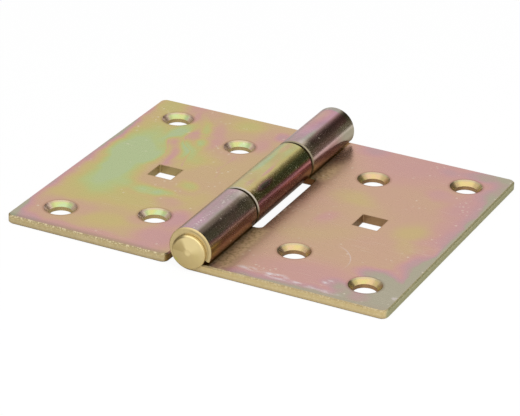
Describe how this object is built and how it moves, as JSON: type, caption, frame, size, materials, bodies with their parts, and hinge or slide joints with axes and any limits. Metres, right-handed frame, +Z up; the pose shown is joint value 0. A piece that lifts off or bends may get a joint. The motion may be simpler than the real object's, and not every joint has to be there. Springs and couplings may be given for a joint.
{
  "type": "loose-pin butt hinge",
  "caption": "Open steel butt hinge with rolled knuckles and a headed loose pin; each leaf has countersunk screw holes and a square hole for a coach bolt.",
  "frame": {"origin": "in the plane of the leaves' backs, under the middle of the pin", "axes": "+X across the leaves towards the leaf with the two end knuckles, +Y along the pin away from its head, +Z up from the leaves' backs"},
  "size_m": [0.126, 0.1025, 0.0138],
  "materials": {
    "right_leaf": "yellow iridescent passivated zinc, soft gloss",
    "left_leaf": "yellow iridescent passivated zinc, soft gloss",
    "pin": "yellow passivated zinc, matt"
  },
  "bodies": {
    "right_leaf": {"right_leaf": "right_leaf"},
    "left_leaf": {"left_leaf": "left_leaf"},
    "pin": {"pin": "pin"}
  },
  "joints": [
    {"name": "leaf_fold", "type": "hinge", "parent": "right_leaf", "child": "left_leaf", "pos_m": [0, 0, 0.0069], "axis": [0, 1, 0], "range_deg": [-90, 186]},
    {"name": "pin_draw", "type": "slide", "parent": "right_leaf", "child": "pin", "axis": [0, -1, 0], "range_m": [0, 0.105]}
  ]
}
